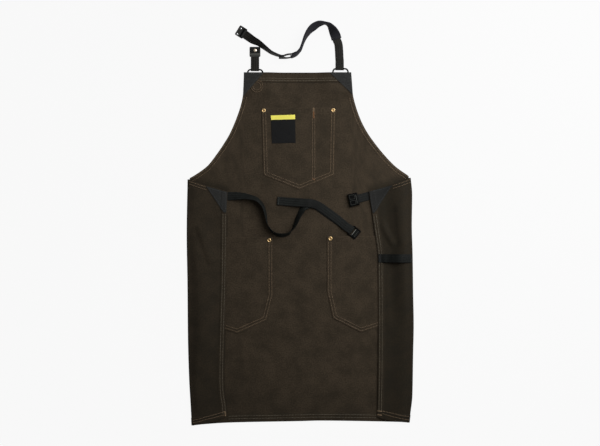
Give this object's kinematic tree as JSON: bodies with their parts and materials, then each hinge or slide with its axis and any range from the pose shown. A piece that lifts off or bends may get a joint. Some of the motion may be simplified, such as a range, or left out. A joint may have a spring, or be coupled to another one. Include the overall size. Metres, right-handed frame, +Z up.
{
  "type": "bib apron",
  "caption": "Work apron of heavy cloth lying flat with its side wings folded forward, with pockets, a padded neck strap, a waist strap with buckle and a tool loop.",
  "frame": {"origin": "on the floor under the apron, on its centre line, about half way up its length", "axes": "+Y along the apron towards the bib, +X across it to the right as seen from above, +Z up from the floor"},
  "size_m": [0.5437, 0.9678, 0.0249],
  "materials": {
    "canvas": "matte",
    "patch_cloth": "matte",
    "webbing": "satin",
    "pad_cloth": "matte",
    "woven_label": "satin",
    "plastic": "satin",
    "wire": "satin",
    "brass": "polished",
    "steel": "satin"
  },
  "bodies": {
    "root": {"body_panel": "canvas", "chest_pocket": "canvas", "hand_pocket_left": "canvas", "hand_pocket_right": "canvas", "round_tab": "canvas", "woven_patch": "woven_label", "bib_corner_patch_left": "patch_cloth", "bib_corner_patch_right": "patch_cloth", "hip_corner_patch_left": "patch_cloth", "hip_corner_patch_right": "patch_cloth", "d_ring_left": "wire", "d_ring_right": "wire", "ring_keeper_left": "webbing", "ring_keeper_right": "webbing", "neck_tab": "webbing", "neck_clip_socket": "plastic", "clip_stud": "brass", "neck_strap": "webbing", "neck_pad": "pad_cloth", "neck_pad_tab": "webbing", "neck_strap_end": "webbing", "neck_clip_plate": "plastic", "clip_rivet_1": "steel", "clip_rivet_2": "steel", "waist_strap": "webbing", "waist_buckle_male": "plastic", "waist_buckle_female": "plastic", "waist_tab": "webbing", "tool_loop": "webbing", "chest_rivet_left": "brass", "chest_rivet_right": "brass", "hand_rivet_left": "brass", "hand_rivet_right": "brass"}
  },
  "joints": []
}
